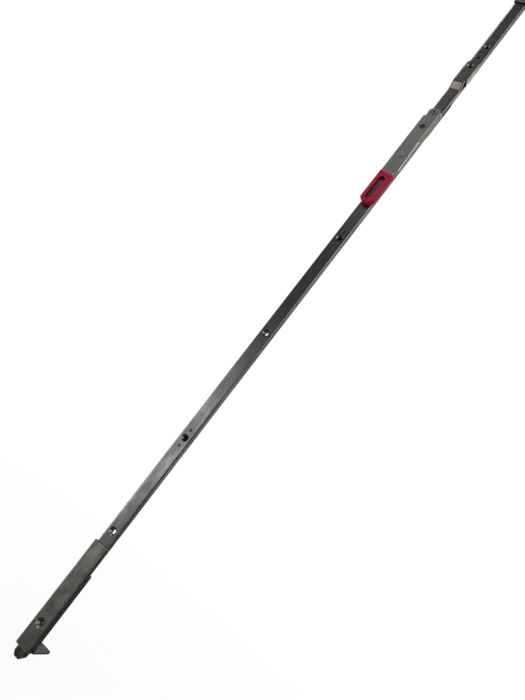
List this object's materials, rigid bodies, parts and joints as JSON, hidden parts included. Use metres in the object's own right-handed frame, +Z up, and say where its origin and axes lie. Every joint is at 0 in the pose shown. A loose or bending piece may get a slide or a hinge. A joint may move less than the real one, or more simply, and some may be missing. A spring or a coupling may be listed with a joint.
{
  "type": "window espagnolette",
  "caption": "Lever-operated espagnolette for the passive leaf of a double window: a flush lever turns a pinion that draws shoot bolts at both ends.",
  "frame": {"origin": "axis of the fixing-screw hole just below the lever, in the plane of the faceplate's rear face", "axes": "+Z up along the bar as fitted, -Y out of the visible face, +Y back into the leaf, +X to the side that the lever swings to"},
  "size_m": [0.0213, 0.0463, 1.1465],
  "materials": {
    "faceplate_steel": "satin zinc-plated steel",
    "lever_steel": "satin zinc-plated steel",
    "inner_steel": "plain zinc-plated steel",
    "cast_zinc": "dull cast finish",
    "bolt_steel": "bright plated",
    "bracket_steel": "dark plated",
    "black_plastic": "dull moulded",
    "tan_plastic": "dull moulded",
    "red_plastic": "glossy moulded"
  },
  "bodies": {
    "root": {"main_faceplate": "faceplate_steel", "upper_faceplate": "faceplate_steel", "joint_spacer": "inner_steel", "lower_rod_guide": "black_plastic", "middle_rod_guide": "black_plastic", "upper_rod_guide": "black_plastic", "guide_rivets": "inner_steel", "gear_cover": "inner_steel", "cover_posts": "inner_steel", "lower_bolt_housing": "cast_zinc", "upper_bolt_housing": "cast_zinc", "lower_corner_bracket": "bracket_steel", "upper_corner_bracket": "bracket_steel", "lower_housing_studs": "inner_steel", "upper_housing_studs": "inner_steel"},
    "lever": {"lever_arm": "lever_steel", "lever_plate": "lever_steel", "lever_grip": "red_plastic", "lever_rivets": "lever_steel", "lever_spacer": "inner_steel", "lever_shaft": "inner_steel", "drive_pinion": "inner_steel", "retaining_ring": "inner_steel"},
    "lower_bolt": {"lower_drive_rod": "inner_steel", "lower_shoot_bolt": "bolt_steel", "lower_bolt_rivets": "inner_steel"},
    "upper_bolt": {"upper_rack_rod": "inner_steel", "upper_extension_rod": "inner_steel", "coupling_clip": "tan_plastic", "upper_shoot_bolt": "bolt_steel", "upper_bolt_rivets": "inner_steel"}
  },
  "joints": [
    {"name": "lever_swing", "type": "hinge", "parent": "root", "child": "lever", "pos_m": [0, 0, 0.218], "axis": [0, -1, 0], "range_deg": [0, 150]},
    {"name": "lower_bolt_slide", "type": "slide", "parent": "root", "child": "lower_bolt", "axis": [0, 0, 1], "range_m": [0, 0.0112]},
    {"name": "upper_bolt_slide", "type": "slide", "parent": "root", "child": "upper_bolt", "axis": [0, 0, -1], "range_m": [0, 0.0112]}
  ],
  "couplings": [
    {"joint": "lower_bolt_slide", "follows": "lever_swing", "m_per_rad": 0.0042},
    {"joint": "upper_bolt_slide", "follows": "lever_swing", "m_per_rad": 0.0042}
  ]
}
